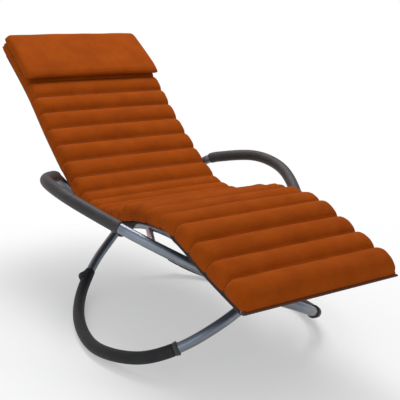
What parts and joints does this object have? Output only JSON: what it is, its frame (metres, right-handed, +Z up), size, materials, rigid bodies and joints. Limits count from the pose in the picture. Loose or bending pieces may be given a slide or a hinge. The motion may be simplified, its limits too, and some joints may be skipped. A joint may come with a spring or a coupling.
{
  "type": "rocking chaise lounge",
  "caption": "Rocking chaise lounge: S-curved channelled pad with head pillow on a rail frame, carried by two crossed bent-tube loops that form the arms and rockers",
  "frame": {"origin": "centre of the bounding box on the floor", "axes": "+Z up, +Y from the foot end to the head end, +X to the right of someone looking from the foot end to the head end"},
  "size_m": [0.842, 1.4652, 0.8182],
  "materials": {
    "frame_steel": "dark gunmetal powder coat with a soft sheen",
    "grip_foam": "matte charcoal foam sleeve, fine grain",
    "sleeve_rubber": "near-black matte sleeve, fine grain",
    "lip_plastic": "matte grey collar",
    "plug_plastic": "black push-in plug",
    "sling_fabric": "dark woven textile",
    "pad_suede": "burnt orange suede-like cloth with a short nap"
  },
  "bodies": {
    "chair": {"arm_tube_left": "frame_steel", "rocker_tube_left": "frame_steel", "arm_grip_left": "grip_foam", "rocker_sleeve_left": "sleeve_rubber", "rocker_lip_left": "lip_plastic", "rocker_stop_left": "sleeve_rubber", "seat_rail_left": "frame_steel", "rail_plug_foot_left": "plug_plastic", "rail_plug_head_left": "plug_plastic", "front_post_left": "frame_steel", "rear_stub_left": "frame_steel", "arm_tube_right": "frame_steel", "rocker_tube_right": "frame_steel", "arm_grip_right": "grip_foam", "rocker_sleeve_right": "sleeve_rubber", "rocker_lip_right": "lip_plastic", "rocker_stop_right": "sleeve_rubber", "seat_rail_right": "frame_steel", "rail_plug_foot_right": "plug_plastic", "rail_plug_head_right": "plug_plastic", "front_post_right": "frame_steel", "rear_stub_right": "frame_steel", "hub_front": "frame_steel", "hub_plug_front_outer": "plug_plastic", "hub_plug_front_inner": "plug_plastic", "hub_rear": "frame_steel", "hub_plug_rear_outer": "plug_plastic", "hub_plug_rear_inner": "plug_plastic", "cross_tube_foot": "frame_steel", "cross_tube_front": "frame_steel", "cross_tube_back": "frame_steel", "cross_tube_head": "frame_steel", "seat_sling": "sling_fabric", "seat_pad": "pad_suede"},
    "pillow": {"head_pillow": "pad_suede"}
  },
  "joints": [
    {"name": "pillow_slide", "type": "slide", "parent": "chair", "child": "pillow", "axis": [0, 0.8585, 0.5128], "range_m": [-0.12, 0]}
  ]
}
